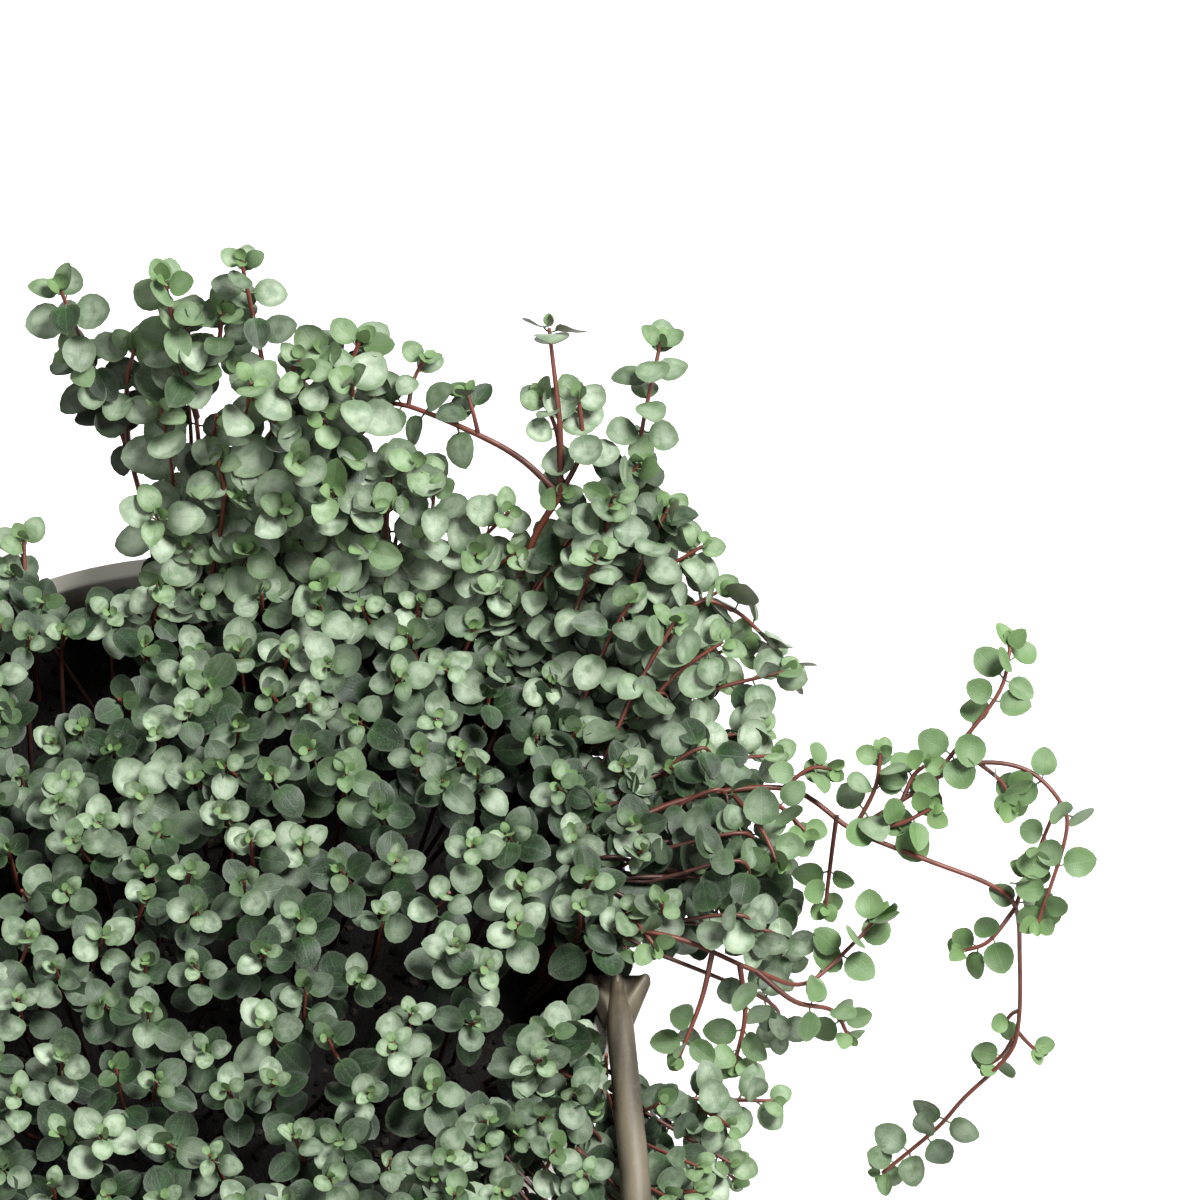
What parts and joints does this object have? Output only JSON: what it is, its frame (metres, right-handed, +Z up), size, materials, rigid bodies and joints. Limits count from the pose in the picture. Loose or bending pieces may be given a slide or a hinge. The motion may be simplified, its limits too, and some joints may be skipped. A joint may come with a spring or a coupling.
{
  "type": "potted plant",
  "caption": "Round plastic pot of soil with a folded hanger, filled and overhung by a mat of small round-leaved stems, with upright shoots at the back and trailing stems at the side",
  "frame": {"origin": "middle of the pot's underside", "axes": "+Z up, -Y towards the front where the hanger's arch lies, +X to the right where the long trailing stem reaches out"},
  "size_m": [0.2926, 0.2784, 0.1908],
  "materials": {
    "pot": "taupe-grey moulded plastic, faintly satin",
    "hanger": "brown-grey moulded plastic with paler worn edges",
    "soil": "moist dark potting mix with coarse crumbs",
    "mat": "silvery grey-green leaves, paler underneath, on thin reddish-brown stems",
    "shoot": "silvery grey-green leaves with greener edges, on reddish-brown stems"
  },
  "bodies": {
    "root": {"hanger": "hanger", "mat_centre": "mat", "mat_inner_1": "mat", "mat_inner_2": "mat", "mat_inner_3": "mat", "mat_inner_4": "mat", "mat_inner_5": "mat", "mat_outer_1": "mat", "mat_outer_10": "mat", "mat_outer_2": "mat", "mat_outer_3": "mat", "mat_outer_4": "mat", "mat_outer_5": "mat", "mat_outer_6": "mat", "mat_outer_7": "mat", "mat_outer_8": "mat", "mat_outer_9": "mat", "pot": "pot", "runner_back": "shoot", "shoot_back_left": "shoot", "shoot_back_low": "shoot", "shoot_back_middle": "shoot", "shoot_back_right": "shoot", "shoot_back_tall": "shoot", "shoot_corner": "shoot", "shoot_corner_low": "shoot", "shoot_front_corner": "shoot", "shoot_front_right": "shoot", "shoot_left_back": "shoot", "shoot_left_front": "shoot", "shoot_right_bend": "shoot", "shoot_right_front": "shoot", "shoot_right_low": "shoot", "shoot_rim_left": "shoot", "shoot_rim_right": "shoot", "soil": "soil", "trailer_front": "shoot", "trailer_front_left": "shoot", "trailer_left": "shoot", "trailer_right": "shoot"}
  },
  "joints": []
}
